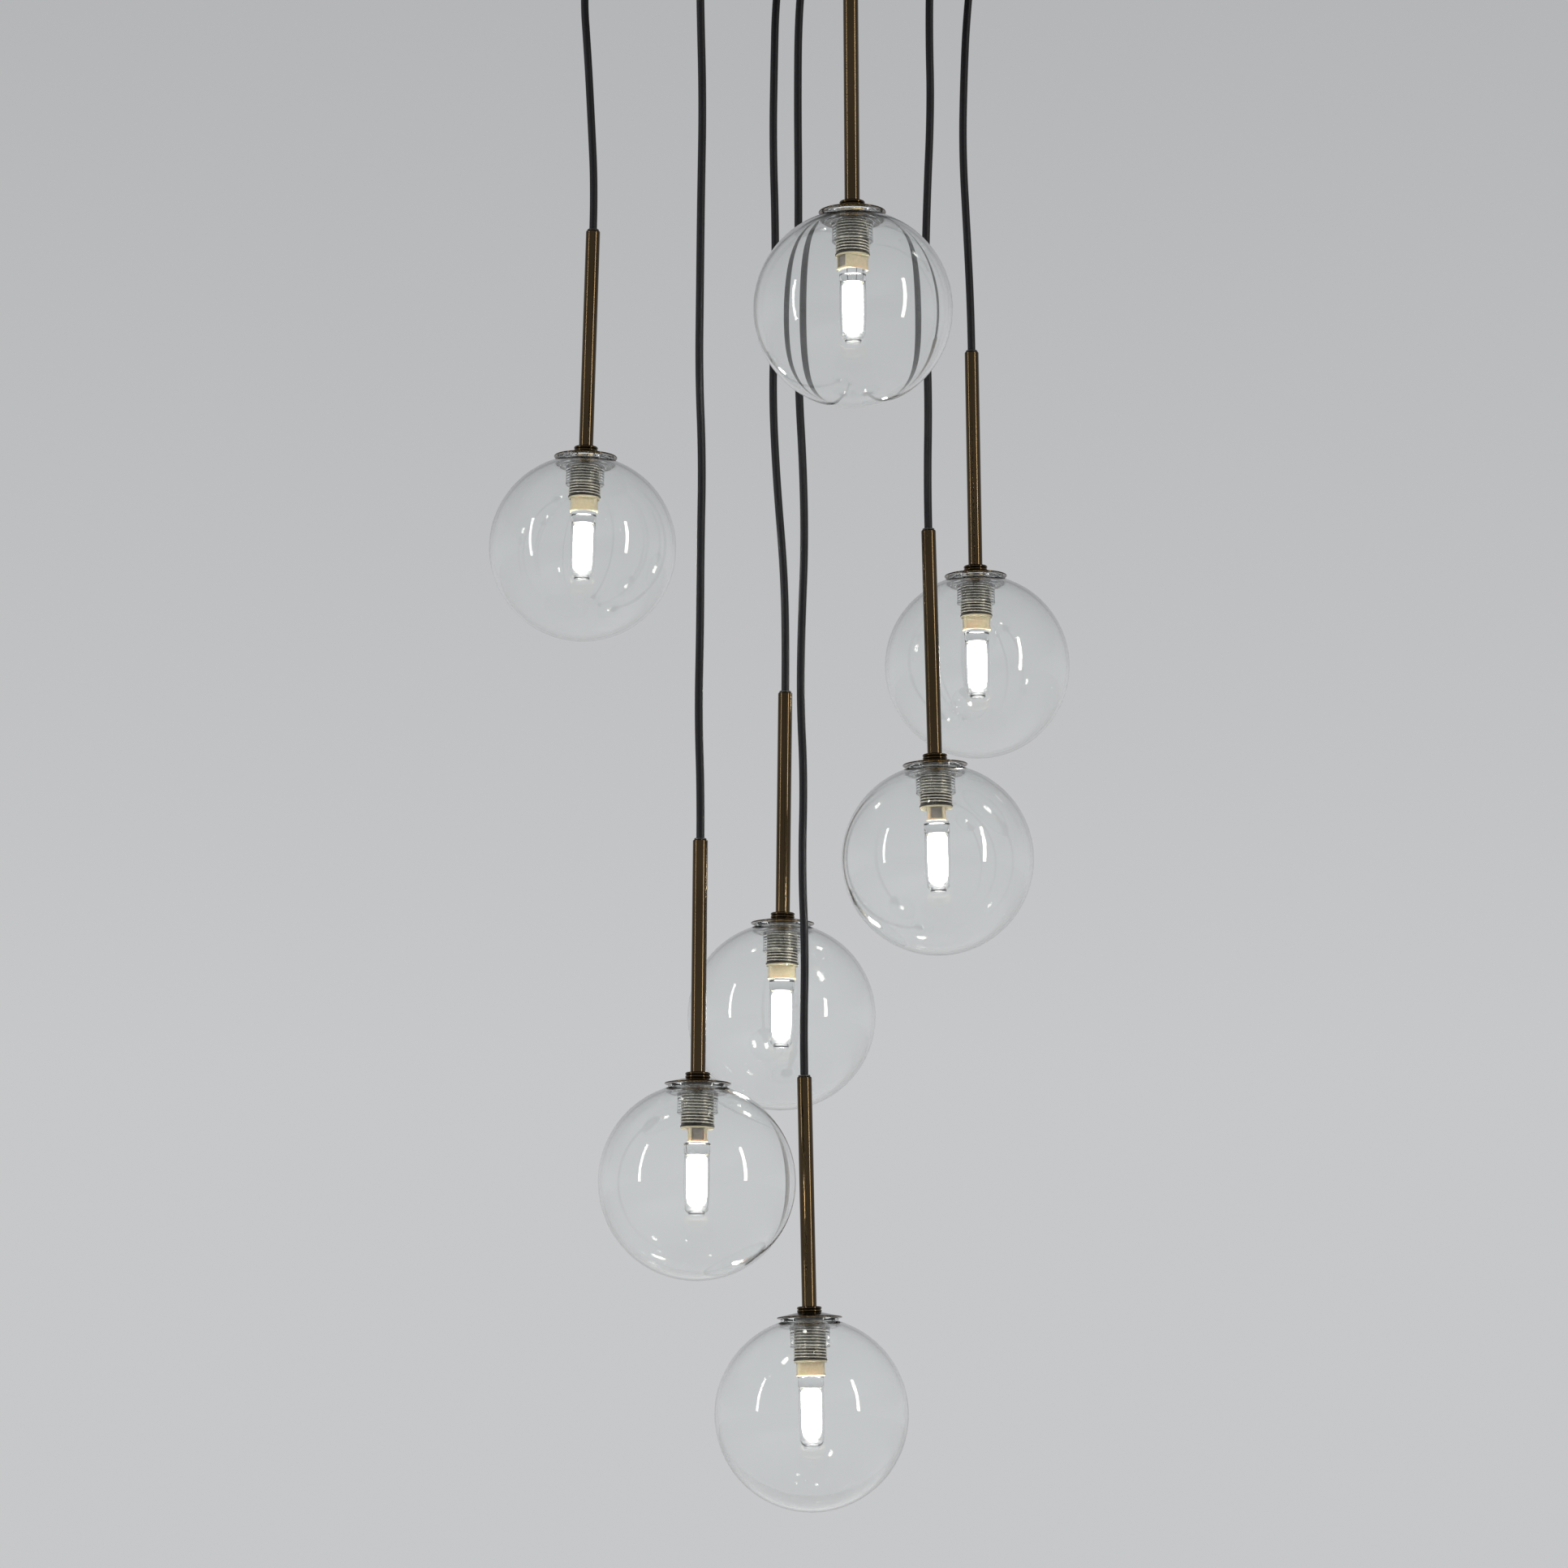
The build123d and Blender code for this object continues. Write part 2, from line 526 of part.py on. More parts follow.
def write_canopy():
    """Write the canopy's nodes."""
    grips = [Pos(*outlet(data), 0) for data in PENDANTS.values()]
    floor = -CANOPY_DEPTH + CANOPY_SHEET
    grip_nut = hex_nut(NUT_FLATS, GRIP_THREAD_R + SLIP, floor, floor + 3.0)
    save("canopy_cover", canopy_cover())
    save("ceiling_bracket", ceiling_bracket())
    save("cover_screws", *[Rot(0, 0, 90 * quarter) * cover_screw() for quarter in range(4)])
    save("cord_grips", *[place * cord_grip() for place in grips])
    save("grip_nuts", *[place * grip_nut for place in grips])
    save("grip_clamps", *[place * grip_clamp() for place in grips])
    save("cable_tails", *[cable_tail(data) for data in PENDANTS.values()])
    save("terminal_block", terminal_block())
    save("terminal_screws", *terminal_screws())
    save("earth_stud", *earth_stud())


write_canopy()
for number, data in PENDANTS.items():
    write_pendant(number, data)
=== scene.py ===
# %% [markdown]
# # A cluster pendant, dressed for a photograph
#
# Seven clear glass globes hang at seven heights from one round canopy. The CAD model already says
# where everything is, so this script never decides a position: it makes finer pieces in the same
# places, gives them real finishes, and tells each piece which body it moves with.
# Everything is in metres, with the origin on the ceiling and +Z up.

# %% Load the frame
import math

import bmesh
import bpy
from mathutils import Matrix, Vector


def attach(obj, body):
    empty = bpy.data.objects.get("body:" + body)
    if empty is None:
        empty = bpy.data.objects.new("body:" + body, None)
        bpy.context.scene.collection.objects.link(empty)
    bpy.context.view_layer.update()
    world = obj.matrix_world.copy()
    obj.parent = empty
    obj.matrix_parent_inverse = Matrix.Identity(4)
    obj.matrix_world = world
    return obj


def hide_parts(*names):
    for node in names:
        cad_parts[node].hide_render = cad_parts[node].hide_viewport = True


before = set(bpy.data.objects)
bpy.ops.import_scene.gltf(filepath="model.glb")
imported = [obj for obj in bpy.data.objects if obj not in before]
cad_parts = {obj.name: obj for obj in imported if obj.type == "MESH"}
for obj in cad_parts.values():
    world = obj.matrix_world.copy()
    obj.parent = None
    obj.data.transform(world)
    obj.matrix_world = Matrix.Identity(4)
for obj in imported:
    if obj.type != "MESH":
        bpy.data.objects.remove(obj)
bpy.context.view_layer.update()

# %% [markdown]
# ## The camera
#
# A long lens from three and a half metres away keeps the seven globes nearly the same size. The
# camera stands just below the lowest globe and looks a little up, so each brass disc shows its
# underside through the glass.

# %% Camera
CAMERA_PLACE = (-0.015, -3.520, -1.220)
CAMERA_PITCH = 8.8
LENS_MM = 121.1
SENSOR_MM = 36.0

lens = bpy.data.cameras.new("photo_camera")
lens.sensor_width = SENSOR_MM
lens.lens = LENS_MM
camera = bpy.data.objects.new("photo_camera", lens)
camera.location = CAMERA_PLACE
camera.rotation_euler = (math.radians(90 + CAMERA_PITCH), 0, 0)
bpy.context.scene.collection.objects.link(camera)
bpy.context.scene.camera = camera
bpy.context.scene.view_settings.view_transform = "Standard"
print("camera lens", lens.lens, "mm, pitch", CAMERA_PITCH)

# %% [markdown]
# ## Where each pendant hangs
#
# One pendant is drawn upright, with its cap disc's rim at height 0, and then put in its place seven
# times. The numbers below repeat the CAD source, in metres and degrees: the globe's centre, how far
# out of plumb the stem is, how the oblong socket is turned, where the cable leaves the canopy, how
# long it is, and the corners of its route. A corner's middle number is how far it strays forwards
# or backwards from the pendant's own plane.

# %% The seven pendants
# Heights on an upright pendant are measured from its disc's rim. The mouths of the cord grips lie
# at one height below the ceiling.
GLOBE_DROP = 0.0642
STEM_TOP = 0.1628
STEM_FOOT = -0.0070
GRIP_MOUTH_Z = -0.0512

PENDANTS = {
    1: dict(
        globe=(0.0299, -0.173, -0.3888), lean=0.3, turn=38.0, outlet_x=0.0298, length=0.279,
        route=[(0.0301, 0.0005, -0.090)],
    ),
    2: dict(
        globe=(-0.1549, 0.078, -0.4972), lean=-1.5, turn=0.0, outlet_x=-0.1542, length=0.388,
        route=[(-0.1569, 0.0004, -0.096), (-0.1534, -0.0005, -0.142), (-0.1507, 0.0006, -0.190)],
    ),
    3: dict(
        globe=(0.1211, 0.138, -0.5699), lean=0.7, turn=3.0, outlet_x=0.1207, length=0.461,
        route=[
            (0.1163, 0.0004, -0.092), (0.1138, -0.0005, -0.142), (0.1126, 0.0007, -0.196),
            (0.1155, 0.0008, -0.255),
        ],
    ),
    4: dict(
        globe=(0.0889, 0.010, -0.7251), lean=1.35, turn=88.0, outlet_x=0.0882, length=0.616,
        route=[
            (0.0863, 0.0004, -0.098), (0.0854, -0.0005, -0.148), (0.0865, 0.0007, -0.200),
            (0.0833, 0.0011, -0.270), (0.0816, -0.0003, -0.338), (0.0841, -0.0009, -0.403),
        ],
    ),
    5: dict(
        globe=(-0.0167, 0.107, -0.8209), lean=-0.65, turn=-3.0, outlet_x=-0.0165, length=0.712,
        route=[
            (-0.0209, 0.0003, -0.092), (-0.0220, -0.0006, -0.140), (-0.0229, 0.0007, -0.198),
            (-0.0210, 0.0011, -0.262), (-0.0213, -0.0004, -0.325), (-0.0232, -0.0010, -0.380),
            (-0.0204, 0.0003, -0.441), (-0.0148, 0.0006, -0.510),
        ],
    ),
    6: dict(
        globe=(-0.0723, -0.055, -0.9480), lean=-0.45, turn=93.0, outlet_x=-0.0721, length=0.839,
        route=[
            (-0.0726, 0.0003, -0.096), (-0.0719, -0.0005, -0.148), (-0.0701, 0.0006, -0.216),
            (-0.0712, 0.0010, -0.284), (-0.0717, -0.0004, -0.350), (-0.0722, -0.0010, -0.404),
            (-0.0698, 0.0004, -0.464), (-0.0709, 0.0009, -0.524), (-0.0710, 0.0001, -0.580),
            (-0.0721, -0.0005, -0.636),
        ],
    ),
    7: dict(
        globe=(0.0035, 0.033, -1.0970), lean=1.2, turn=2.0, outlet_x=0.0027, length=0.988,
        route=[
            (-0.0013, 0.0003, -0.088), (-0.0050, -0.0004, -0.130), (-0.0055, 0.0006, -0.190),
            (-0.0049, 0.0010, -0.256), (-0.0053, -0.0003, -0.326), (-0.0051, -0.0009, -0.392),
            (-0.0018, 0.0003, -0.450), (-0.0008, 0.0008, -0.504), (-0.0030, 0.0002, -0.560),
            (-0.0039, -0.0005, -0.612), (-0.0014, -0.0002, -0.666), (-0.0029, 0.0005, -0.728),
            (-0.0006, 0.0002, -0.786),
        ],
    ),
}


def hanging_place(data, turned=False):
    """The matrix that takes an upright pendant to where this one hangs."""
    lean = math.radians(data["lean"])
    up = Vector((-math.sin(lean), 0, math.cos(lean)))
    rim = Vector(data["globe"]) + up * GLOBE_DROP
    turn = Matrix.Rotation(math.radians(data["turn"]) if turned else 0, 4, "Z")
    return Matrix.Translation(rim) @ Matrix.Rotation(-lean, 4, "Y") @ turn


for number, data in PENDANTS.items():
    print("pendant", number, "rim at", [round(v, 4) for v in hanging_place(data).translation])

# %% [markdown]
# ## Helpers for materials
#
# Every finish is a Principled shader. Its plain values stay on the shader's own sockets, and noise
# drives only what changes over the surface: colour, roughness and a very small bump.

# %% Material helpers
def new_finish(name, **values):
    """A material with one Principled shader, and its plain socket values set."""
    material = bpy.data.materials.new(name)
    material.use_nodes = True
    shader = material.node_tree.nodes["Principled BSDF"]
    for socket, value in values.items():
        shader.inputs[socket.replace("_", " ")].default_value = value
    return material, material.node_tree, shader


def add_node(tree, kind, **values):
    """A node with some of its inputs set by name."""
    node = tree.nodes.new(kind)
    for socket, value in values.items():
        node.inputs[socket.replace("_", " ")].default_value = value
    return node


def object_noise(tree, scale, stretch=(1, 1, 1), detail=3.0):
    """Noise over Object coordinates, stretched along an axis where the finish has a grain."""
    place = tree.nodes.new("ShaderNodeTexCoord")
    mapping = add_node(tree, "ShaderNodeMapping", Scale=stretch)
    noise = add_node(tree, "ShaderNodeTexNoise", Scale=scale, Detail=detail)
    tree.links.new(place.outputs["Object"], mapping.inputs["Vector"])
    tree.links.new(mapping.outputs["Vector"], noise.inputs["Vector"])
    return noise


def vary_colour(tree, shader, noise, first, second):
    """Mixes two near colours by a noise."""
    ramp = tree.nodes.new("ShaderNodeValToRGB")
    ramp.color_ramp.elements[0].position = 0.35
    ramp.color_ramp.elements[1].position = 0.65
    ramp.color_ramp.elements[0].color = (*first, 1)
    ramp.color_ramp.elements[1].color = (*second, 1)
    tree.links.new(noise.outputs["Fac"], ramp.inputs["Fac"])
    tree.links.new(ramp.outputs["Color"], shader.inputs["Base Color"])


def vary_roughness(tree, shader, noise, low, high):
    """Spreads roughness between two values by a noise."""
    spread = add_node(
        tree, "ShaderNodeMapRange", From_Min=0.3, From_Max=0.7, To_Min=low, To_Max=high,
    )
    tree.links.new(noise.outputs["Fac"], spread.inputs["Value"])
    tree.links.new(spread.outputs["Result"], shader.inputs["Roughness"])


def add_bump(tree, shader, noise, strength, distance):
    """A small surface relief from a noise."""
    bump = add_node(tree, "ShaderNodeBump", Strength=strength, Distance=distance)
    tree.links.new(noise.outputs["Fac"], bump.inputs["Height"])
    tree.links.new(bump.outputs["Normal"], shader.inputs["Normal"])


print("material helpers ready")

# %% [markdown]
# ## Black sheathed cable
#
# The sheath is extruded PVC: nearly black, with a soft sheen along its side and a very faint grain.

# %% Cable sheath
sheath, tree, shader = new_finish("black_sheath", IOR=1.5, Specular_IOR_Level=0.22)
grain = object_noise(tree, 900.0)
vary_colour(tree, shader, grain, (0.004, 0.004, 0.005), (0.008, 0.008, 0.010))
vary_roughness(tree, shader, object_noise(tree, 60.0), 0.36, 0.50)
add_bump(tree, shader, grain, 0.15, 0.0001)
print("made", sheath.name)

# %% [markdown]
# ## The hanging cables
#
# A cable that was coiled in its box never hangs quite straight, so each one keeps a slight wave of
# its own. A NURBS line with a few given points gives that wave without any kink, and its bevel
# makes the round sheath. The line's order is set after its points, or it would stay at straight
# runs. Inside the stem the cable is straight, and the point above the bush keeps it in the middle.

# %% Cables
CABLE_R = 0.00275
# On the stem's axis: a point above its top, one below its top, and one at its foot.
STEM_POINTS = (STEM_TOP + 0.030, STEM_TOP - 0.033, STEM_FOOT + 0.001)


def stem_point(data, height):
    """A point on the pendant's axis, above its cap disc's rim."""
    return hanging_place(data) @ Vector((0, 0, height))


def hanging_cable(number, data):
    """One cable from its grip's mouth down into its stem."""
    y = data["globe"][1]
    points = [Vector((data["outlet_x"], y, GRIP_MOUTH_Z))]
    points += [Vector((x, y + offset, z)) for x, offset, z in data["route"]]
    points += [stem_point(data, height) for height in STEM_POINTS]
    line = bpy.data.curves.new(f"cable_line_{number}", "CURVE")
    line.dimensions = "3D"
    spline = line.splines.new("NURBS")
    spline.points.add(len(points) - 1)
    for point, place in zip(spline.points, points):
        point.co = (*place, 1)
    spline.order_u = 3
    spline.use_endpoint_u = True
    line.resolution_u = 16
    line.bevel_depth = CABLE_R
    line.bevel_resolution = 6
    line.use_fill_caps = True
    line.materials.append(sheath)
    cable = bpy.data.objects.new(f"hanging_cable_{number}", line)
    bpy.context.scene.collection.objects.link(cable)
    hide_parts(f"cable_{number}")
    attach(cable, f"pendant_{number}")
    return cable, points[0]


for number, data in PENDANTS.items():
    hanging_cable(number, data)

# %% [markdown]
# ## The studio
#
# A plain pale floor lies where a room's floor would be, and it is clear from below, so a low view
# still sees the lamp. A plain pale backdrop goes all round. Clear glass needs something darker to
# bend, or it vanishes, so the backdrop darkens towards the zenith. The camera, mirrors and glass
# see that backdrop, while the object is lit by an even white. Two large soft boxes light it too and
# aren't mirrored. Two tall and narrow ones do the opposite: they only draw highlights, such as the
# thin golden lines on the polished stems.

# %% Floor
FLOOR_Z = -2.4
FLOOR_REACH = 30.0

scene = bpy.context.scene
floor_mesh = bpy.data.meshes.new("floor")
corners = [
    (x * FLOOR_REACH, y * FLOOR_REACH, FLOOR_Z) for x, y in ((-1, -1), (1, -1), (1, 1), (-1, 1))
]
floor_mesh.from_pydata(corners, [], [(0, 1, 2, 3)])
floor = bpy.data.objects.new("floor", floor_mesh)
scene.collection.objects.link(floor)
floor_paint, tree, shader = new_finish("floor_paint", Roughness=0.9, Specular_IOR_Level=0.1)
vary_colour(tree, shader, object_noise(tree, 40.0), (0.945, 0.95, 0.96), (0.955, 0.96, 0.97))
geometry = tree.nodes.new("ShaderNodeNewGeometry")
clear = tree.nodes.new("ShaderNodeBsdfTransparent")
pick = tree.nodes.new("ShaderNodeMixShader")
tree.links.new(geometry.outputs["Backfacing"], pick.inputs["Fac"])
tree.links.new(shader.outputs["BSDF"], pick.inputs[1])
tree.links.new(clear.outputs["BSDF"], pick.inputs[2])
tree.links.new(pick.outputs["Shader"], tree.nodes["Material Output"].inputs["Surface"])
floor_mesh.materials.append(floor_paint)
print("floor at", FLOOR_Z)

# %% Backdrop
PALE = (0.57, 0.575, 0.585)
ZENITH = (0.10, 0.104, 0.112)
ROOM_LIGHT = 0.55

world = bpy.data.worlds.new("backdrop")
scene.world = world
world.use_nodes = True
tree = world.node_tree
tree.nodes.clear()
place = tree.nodes.new("ShaderNodeTexCoord")
split = tree.nodes.new("ShaderNodeSeparateXYZ")
shade = tree.nodes.new("ShaderNodeValToRGB")
shade.color_ramp.elements[0].position = 0.10
shade.color_ramp.elements[0].color = (*PALE, 1)
shade.color_ramp.elements[1].position = 0.95
shade.color_ramp.elements[1].color = (*ZENITH, 1)
seen = add_node(tree, "ShaderNodeBackground", Strength=1.0)
light = add_node(tree, "ShaderNodeBackground", Strength=ROOM_LIGHT)
light.inputs["Color"].default_value = (1, 1, 1, 1)
path = tree.nodes.new("ShaderNodeLightPath")
either = tree.nodes.new("ShaderNodeMath")
either.operation = "MAXIMUM"
any_of = tree.nodes.new("ShaderNodeMath")
any_of.operation = "MAXIMUM"
mix = tree.nodes.new("ShaderNodeMixShader")
out = tree.nodes.new("ShaderNodeOutputWorld")
tree.links.new(place.outputs["Generated"], split.inputs["Vector"])
tree.links.new(split.outputs["Z"], shade.inputs["Fac"])
tree.links.new(shade.outputs["Color"], seen.inputs["Color"])
tree.links.new(path.outputs["Is Camera Ray"], either.inputs[0])
tree.links.new(path.outputs["Is Glossy Ray"], either.inputs[1])
tree.links.new(either.outputs["Value"], any_of.inputs[0])
tree.links.new(path.outputs["Is Transmission Ray"], any_of.inputs[1])
tree.links.new(any_of.outputs["Value"], mix.inputs["Fac"])
tree.links.new(light.outputs["Background"], mix.inputs[1])
tree.links.new(seen.outputs["Background"], mix.inputs[2])
tree.links.new(mix.outputs["Shader"], out.inputs["Surface"])
print("backdrop made of", len(tree.nodes), "nodes")


# %% Lamps
def soft_box(name, place, aim, width, height, watts, mirrored, colour=(1, 1, 1)):
    """A rectangular studio lamp; a mirrored one only draws highlights, the others only light."""
    lamp = bpy.data.lights.new(name, "AREA")
    lamp.shape = "RECTANGLE"
    lamp.size = width
    lamp.size_y = height
    lamp.energy = watts
    lamp.color = colour
    holder = bpy.data.objects.new(name, lamp)
    holder.location = place
    look = Vector(aim) - Vector(place)
    holder.rotation_euler = look.to_track_quat("-Z", "Y").to_euler()
    holder.visible_diffuse = not mirrored
    holder.visible_glossy = mirrored
    holder.visible_transmission = False
    scene.collection.objects.link(holder)


MIDDLE = (0, 0, -0.6)
STEMS = (0, 0, -0.2)
soft_box("key_box", (-2.6, -2.6, 0.4), MIDDLE, 1.8, 1.8, 55, False)
soft_box("back_box", (1.6, 2.6, 0.6), MIDDLE, 1.6, 1.6, 40, False)
soft_box("left_strip", (-2.2, -0.9, -0.2), STEMS, 0.14, 1.6, 10, True)
soft_box("right_strip", (2.0, -1.3, -0.2), STEMS, 0.18, 1.6, 18, True, (1.0, 0.96, 0.90))
print("lamps:", [lamp.name for lamp in bpy.data.lights])

# %% [markdown]
# ## Finishes
#
# The stems, collars and discs are polished brass: it mirrors the room, so its own colour only
# tints what it shows, and noise stretched along the tube stands for handling marks. That colour is
# kept far darker than bare brass, as painted shade, so the metal looks dark between its highlights.
# The cups are a satin metal painted dark, as shade in the thread's grooves, and their thread ridge
# is painted bright, as a highlight on its crests. The sockets are a cream ceramic, very finely
# mottled. The fittings in the canopy are plain steel, brass and moulded plastic.

# %% Metals
# Painted shade: the base colour is far darker than bare brass, so the polished metal looks dark
# between its highlights.
dark_brass, tree, shader = new_finish("dark_brass", Metallic=1.0)
marks = object_noise(tree, 30.0, (1, 1, 0.3))
vary_colour(tree, shader, marks, (0.058, 0.040, 0.021), (0.080, 0.056, 0.030))
vary_roughness(tree, shader, object_noise(tree, 220.0, (1, 1, 0.05)), 0.07, 0.13)
add_bump(tree, shader, object_noise(tree, 500.0, (1, 1, 0.04)), 0.04, 0.0001)

# Painted shade: the cup, whose surface is the thread's root, is darkened to stand for the shade in
# the grooves.
holder_metal, tree, shader = new_finish("holder_metal", Metallic=1.0)
vary_colour(tree, shader, object_noise(tree, 90.0), (0.045, 0.042, 0.036), (0.07, 0.065, 0.055))
vary_roughness(tree, shader, object_noise(tree, 300.0), 0.30, 0.42)

# Painted highlight: the thread ridge is made bright to stand for the light on its crests.
thread_metal, tree, shader = new_finish("thread_metal", Metallic=1.0)
vary_colour(tree, shader, object_noise(tree, 90.0), (0.62, 0.585, 0.50), (0.72, 0.68, 0.58))
vary_roughness(tree, shader, object_noise(tree, 300.0), 0.18, 0.32)

spring_steel, tree, shader = new_finish("spring_steel", Metallic=1.0)
vary_colour(tree, shader, object_noise(tree, 200.0), (0.22, 0.20, 0.17), (0.32, 0.29, 0.25))
vary_roughness(tree, shader, object_noise(tree, 400.0, (1, 1, 0.1)), 0.28, 0.42)

plated_steel, tree, shader = new_finish("plated_steel", Metallic=1.0)
vary_colour(tree, shader, object_noise(tree, 120.0), (0.50, 0.50, 0.49), (0.60, 0.60, 0.59))
vary_roughness(tree, shader, object_noise(tree, 260.0), 0.28, 0.42)
add_bump(tree, shader, object_noise(tree, 700.0), 0.05, 0.0001)

bright_brass, tree, shader = new_finish("bright_brass", Metallic=1.0)
vary_colour(tree, shader, object_noise(tree, 150.0), (0.60, 0.43, 0.19), (0.70, 0.52, 0.25))
vary_roughness(tree, shader, object_noise(tree, 300.0), 0.22, 0.34)

satin_black, tree, shader = new_finish("satin_black", IOR=1.5)
vary_colour(tree, shader, object_noise(tree, 25.0), (0.030, 0.029, 0.028), (0.036, 0.035, 0.034))
vary_roughness(tree, shader, object_noise(tree, 12.0), 0.34, 0.42)
add_bump(tree, shader, object_noise(tree, 1100.0, detail=1.0), 0.10, 0.0001)
print("made the metals")

# %% Ceramic and plastics
cream_ceramic, tree, shader = new_finish("cream_ceramic", IOR=1.52, Subsurface_Weight=0.05)
vary_colour(tree, shader, object_noise(tree, 700.0), (0.45, 0.395, 0.255), (0.51, 0.45, 0.305))
vary_roughness(tree, shader, object_noise(tree, 300.0), 0.40, 0.55)
add_bump(tree, shader, object_noise(tree, 1500.0), 0.08, 0.0001)

moulded_black, tree, shader = new_finish("moulded_black", IOR=1.5)
vary_colour(tree, shader, object_noise(tree, 300.0), (0.016, 0.016, 0.016), (0.022, 0.022, 0.022))
vary_roughness(tree, shader, object_noise(tree, 500.0), 0.35, 0.50)
add_bump(tree, shader, object_noise(tree, 2000.0), 0.10, 0.0001)

moulded_white, tree, shader = new_finish("moulded_white", IOR=1.5)
vary_colour(tree, shader, object_noise(tree, 200.0), (0.78, 0.77, 0.73), (0.84, 0.83, 0.80))
vary_roughness(tree, shader, object_noise(tree, 500.0), 0.35, 0.50)
add_bump(tree, shader, object_noise(tree, 2000.0), 0.10, 0.0001)
print("made the ceramic and the plastics")

# %% [markdown]
# ## Glass
#
# Blown glass is a solid wall with two surfaces, so its mesh has both, and the shader bends light at
# each. A tint of only a few percent is invisible face on and adds up to blue-green at the rim,
# where light travels a long way inside the wall. A slow and very low bump bends what shows behind
# the ball a little, as blown glass does. A renderer gives glass a dark shadow unless lamp rays pass
# straight through it, which the mix with a Transparent shader does.

# %% Glass
# Enough for a ray that crosses a few globes and bulbs in a row, each with two walls.
BOUNCES = 24
scene.cycles.max_bounces = BOUNCES
scene.cycles.transmission_bounces = BOUNCES
scene.cycles.transparent_max_bounces = BOUNCES


def clear_glass(name, tint, ior, shadow):
    """Smooth glass that lets lamp rays through."""
    material, tree, shader = new_finish(name, Roughness=0.0, IOR=ior, Transmission_Weight=1.0)
    shader.inputs["Base Color"].default_value = (*tint, 1)
    path = tree.nodes.new("ShaderNodeLightPath")
    through = add_node(tree, "ShaderNodeBsdfTransparent", Color=(*shadow, 1))
    mix = tree.nodes.new("ShaderNodeMixShader")
    tree.links.new(path.outputs["Is Shadow Ray"], mix.inputs["Fac"])
    tree.links.new(shader.outputs["BSDF"], mix.inputs[1])
    tree.links.new(through.outputs["BSDF"], mix.inputs[2])
    tree.links.new(mix.outputs["Shader"], tree.nodes["Material Output"].inputs["Surface"])
    return material


globe_glass = clear_glass("globe_glass", (0.985, 0.995, 0.992), 1.48, (0.97, 0.975, 0.975))
tree = globe_glass.node_tree
slow_waves = object_noise(tree, 22.0, detail=1.0)
add_bump(tree, tree.nodes["Principled BSDF"], slow_waves, 0.22, 0.0002)
bulb_glass = clear_glass("bulb_glass", (0.99, 0.995, 1.0), 1.46, (1, 1, 1))

lit_core, tree, shader = new_finish("lit_core", Roughness=0.6, Emission_Strength=60.0)
shader.inputs["Emission Color"].default_value = (1.0, 0.975, 0.93, 1)
vary_colour(tree, shader, object_noise(tree, 800.0), (0.90, 0.88, 0.80), (0.98, 0.96, 0.90))
print("made the glass and the lit core")

# %% [markdown]
# ## Turned pieces
#
# Most of a pendant is round: tube, collar, disc, cup, bulb and globe. Each is drawn as the outline
# of one half of its section, counter-clockwise, and swept round. Walked that way every face looks
# outwards, and a hollow drawn clockwise looks into the hollow, so no normals need repair.

# %% Turning and placing
ON_AXIS = 1e-7


def arc(centre, radius, start, end, steps):
    """Points of a rounded edge in a section, from one angle to another."""
    angles = [math.radians(start + (end - start) * i / steps) for i in range(steps + 1)]
    return [(centre[0] + radius * math.cos(a), centre[1] + radius * math.sin(a)) for a in angles]


def turned_mesh(name, outlines, segments=96, crease=30.0):
    """A mesh swept from closed outlines of (radius, height); points on the axis become poles."""
    verts, faces = [], []
    for outline in outlines:
        rings = []
        for radius, height in outline:
            count = 1 if radius < ON_AXIS else segments
            rings.append(list(range(len(verts), len(verts) + count)))
            for k in range(count):
                a = 2 * math.pi * k / segments
                verts.append((radius * math.cos(a), radius * math.sin(a), height))
        for one, two in zip(rings, rings[1:] + rings[:1]):
            for k in range(segments):
                far = (k + 1) % segments
                face = [one[k % len(one)], one[far % len(one)]]
                face += [two[far % len(two)], two[k % len(two)]]
                face = list(dict.fromkeys(face))
                if len(face) > 2:
                    faces.append(face)
    mesh = bpy.data.meshes.new(name)
    mesh.from_pydata(verts, [], faces)
    mesh.validate()
    finish_shading(mesh, crease)
    return mesh


def finish_shading(mesh, crease):
    """Smooth faces, with an edge kept sharp where it turns more than the crease angle."""
    mesh.polygons.foreach_set("use_smooth", [True] * len(mesh.polygons))
    mesh.set_sharp_from_angle(angle=math.radians(crease))


def put(name, mesh, place, body, material, slot, *nodes):
    """A placed copy of a mesh as a piece that rides on a body and stands for CAD nodes."""
    mesh = mesh.copy()
    mesh.transform(place)
    mesh.materials.clear()
    mesh.materials.append(material)
    mesh.name = name
    piece = bpy.data.objects.new(name, mesh)
    scene.collection.objects.link(piece)
    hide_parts(*nodes)
    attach(piece, body)
    return piece


print("a quarter round in six steps has", len(arc((0, 0), 1, 0, 90, 6)), "points")

# %% [markdown]
# ## Stem, bush and collar
#
# The stem is a drawn tube whose top rim is spun inwards. A small black bush sits in it, so the
# cable doesn't rub on metal. At its foot a turned ring with two beads stands on the disc.

# %% Stem, bush and collar
TUBE_R = 0.0050
TUBE_WALL = 0.0010
RIM_ROUND = 0.0012
RIM_BORE = 0.00325
BUSH_BORE = 0.00305
BUSH_R = 0.0032
BUSH_LIP_R = 0.0041
COLLAR_R = 0.0084
BEAD_R = 0.0010
CAP_RISE = 0.0038
# The bore of every piece that slips over the tube.
SLIP_R = TUBE_R + 0.00005

